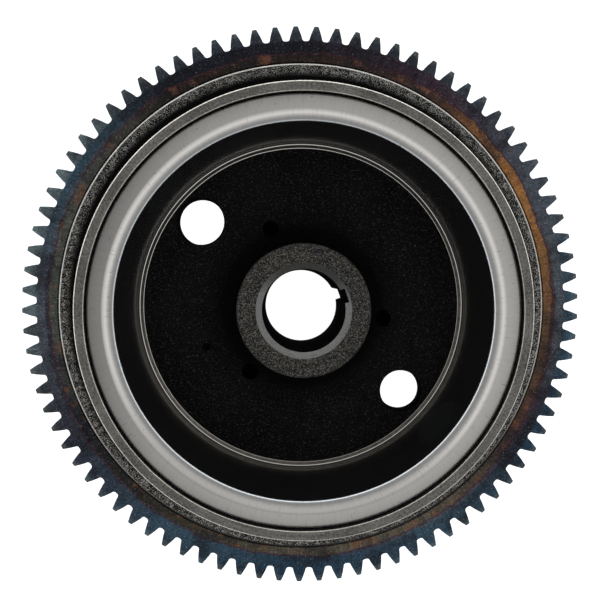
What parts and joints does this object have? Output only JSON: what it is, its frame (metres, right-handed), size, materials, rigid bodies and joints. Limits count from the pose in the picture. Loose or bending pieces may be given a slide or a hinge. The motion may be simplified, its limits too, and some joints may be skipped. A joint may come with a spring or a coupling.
{
  "type": "engine flywheel",
  "caption": "Cast iron magneto flywheel with a keyed bore, a shrunk-on starter ring gear, and arc magnets behind a stainless cover inside its cup.",
  "frame": {"origin": "on the crankshaft axis, in the plane of the casting's machined back face", "axes": "+Z along the crankshaft axis, out of the open side of the magnet cup; the keyway is 19.7 degrees from +X towards +Y"},
  "size_m": [0.174, 0.174, 0.048],
  "materials": {
    "casting": "black rough-cast iron, with machined bright grey rim face, seat edge and bore mouth",
    "ring_gear": "dark blued steel with heat tint in brown, purple and teal",
    "cover": "satin drawn stainless sheet",
    "cage": "moulded black nylon",
    "magnets": "ground sintered ferrite, dark grey"
  },
  "bodies": {
    "root": {"flywheel_casting": "casting", "starter_ring_gear": "ring_gear", "magnet_cover": "cover", "magnet_cage": "cage", "magnet_01": "magnets", "magnet_02": "magnets", "magnet_03": "magnets", "magnet_04": "magnets", "magnet_05": "magnets", "magnet_06": "magnets", "magnet_07": "magnets", "magnet_08": "magnets", "magnet_09": "magnets", "magnet_10": "magnets", "magnet_11": "magnets", "magnet_12": "magnets"}
  },
  "joints": []
}
